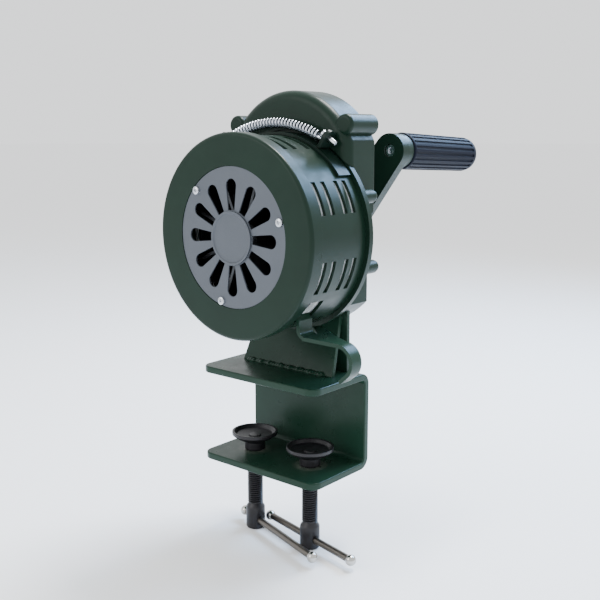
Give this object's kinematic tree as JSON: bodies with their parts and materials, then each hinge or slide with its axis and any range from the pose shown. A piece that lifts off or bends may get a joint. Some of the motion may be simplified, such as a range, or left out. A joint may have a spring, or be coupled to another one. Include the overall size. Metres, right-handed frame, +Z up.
{
  "type": "hand-cranked siren",
  "caption": "Table-clamp hand siren: a slotted drum with a grille and spring-loaded shutter, a geared crank behind, and a U-shaped steel clamp with two screws.",
  "frame": {"origin": "centre of the upper jaw's underside, the face that rests on the table top", "axes": "+Z up, -Y towards the sound horn and its grille, +Y towards the crank, +X to the right seen from the front"},
  "size_m": [0.1915, 0.2771, 0.3881],
  "materials": {
    "green_paint": "semi-gloss enamel",
    "dark_green_paint": "semi-gloss enamel",
    "silver_paint": "satin silver-grey paint",
    "zinc_steel": "bright zinc plating",
    "ground_steel": "machined, oiled",
    "black_steel": "black oxide, oiled",
    "cast_alloy": "as cast, turned rim",
    "sheet_alloy": "rolled sheet",
    "bronze": "sintered, oiled",
    "navy_rubber": "moulded, matt"
  },
  "bodies": {
    "body": {"clamp_frame": "green_paint", "pedestal": "green_paint", "pedestal_bolts": "zinc_steel", "gear_housing": "green_paint", "rear_cover": "green_paint", "cover_screws": "zinc_steel", "drum_body": "green_paint", "flange_screws": "green_paint", "front_ring": "green_paint", "ring_screws": "green_paint", "grille": "silver_paint", "grille_screws": "zinc_steel", "centre_disc": "silver_paint", "spring_bracket": "dark_green_paint", "spring_screw": "zinc_steel", "return_spring": "zinc_steel", "rotor_bearings": "ground_steel", "layshaft_bushes": "bronze", "crank_bushes": "bronze"},
    "shutter_unit": {"shutter_sleeve": "sheet_alloy", "shutter_strap": "dark_green_paint", "shutter_lever": "green_paint", "shutter_rivets": "zinc_steel"},
    "rotor_unit": {"rotor": "cast_alloy", "rotor_shaft": "ground_steel", "rotor_pinion": "ground_steel", "rotor_nut": "ground_steel"},
    "layshaft_unit": {"layshaft": "ground_steel", "layshaft_wheel": "ground_steel", "layshaft_pinion": "ground_steel"},
    "crank_unit": {"crankshaft": "ground_steel", "crank_wheel": "ground_steel", "crank_arm": "green_paint", "crank_nut": "zinc_steel", "grip_spindle": "zinc_steel"},
    "grip_unit": {"grip": "navy_rubber"},
    "screw_left_unit": {"clamp_screw_left": "black_steel"},
    "pad_left_unit": {"pad_left": "black_steel"},
    "bar_left_unit": {"cross_bar_left": "zinc_steel", "bar_balls_left": "zinc_steel"},
    "screw_right_unit": {"clamp_screw_right": "black_steel"},
    "pad_right_unit": {"pad_right": "black_steel"},
    "bar_right_unit": {"cross_bar_right": "zinc_steel", "bar_balls_right": "zinc_steel"}
  },
  "joints": [
    {"name": "crank_turn", "type": "hinge", "parent": "body", "child": "crank_unit", "pos_m": [0, 0, 0.1243], "axis": [0, 1, 0], "continuous": true},
    {"name": "layshaft_turn", "type": "hinge", "parent": "body", "child": "layshaft_unit", "pos_m": [0, 0, 0.1703], "axis": [0, 1, 0], "continuous": true},
    {"name": "rotor_turn", "type": "hinge", "parent": "body", "child": "rotor_unit", "pos_m": [0, 0, 0.1243], "axis": [0, 1, 0], "continuous": true},
    {"name": "grip_spin", "type": "hinge", "parent": "crank_unit", "child": "grip_unit", "pos_m": [0.0522, 0.088, 0.1909], "axis": [-0.0323, 0.9986, -0.0412], "continuous": true},
    {"name": "shutter_turn", "type": "hinge", "parent": "body", "child": "shutter_unit", "pos_m": [0, 0, 0.1243], "axis": [0, -1, 0], "range_deg": [0, 12], "stiffness_Nm_per_rad": 1.5, "springref_deg": -5.73, "deforming": ["return_spring"]},
    {"name": "screw_left_feed", "type": "slide", "parent": "body", "child": "screw_left_unit", "axis": [0, 0, 1], "range_m": [0, 0.045]},
    {"name": "pad_left_turn", "type": "hinge", "parent": "screw_left_unit", "child": "pad_left_unit", "pos_m": [-0.032, -0.003, -0.065], "axis": [0, 0, 1], "continuous": true},
    {"name": "bar_left_slide", "type": "slide", "parent": "screw_left_unit", "child": "bar_left_unit", "axis": [0.9553, -0.2957, 0], "range_m": [-0.08, 0.005]},
    {"name": "screw_right_feed", "type": "slide", "parent": "body", "child": "screw_right_unit", "axis": [0, 0, 1], "range_m": [0, 0.045]},
    {"name": "pad_right_turn", "type": "hinge", "parent": "screw_right_unit", "child": "pad_right_unit", "pos_m": [0.032, -0.003, -0.065], "axis": [0, 0, 1], "continuous": true},
    {"name": "bar_right_slide", "type": "slide", "parent": "screw_right_unit", "child": "bar_right_unit", "axis": [0.977, -0.213, 0], "range_m": [-0.0405, 0.0445]}
  ],
  "couplings": [
    {"joint": "layshaft_turn", "follows": "crank_turn", "ratio": -5.5714},
    {"joint": "rotor_turn", "follows": "crank_turn", "ratio": 31.041}
  ]
}
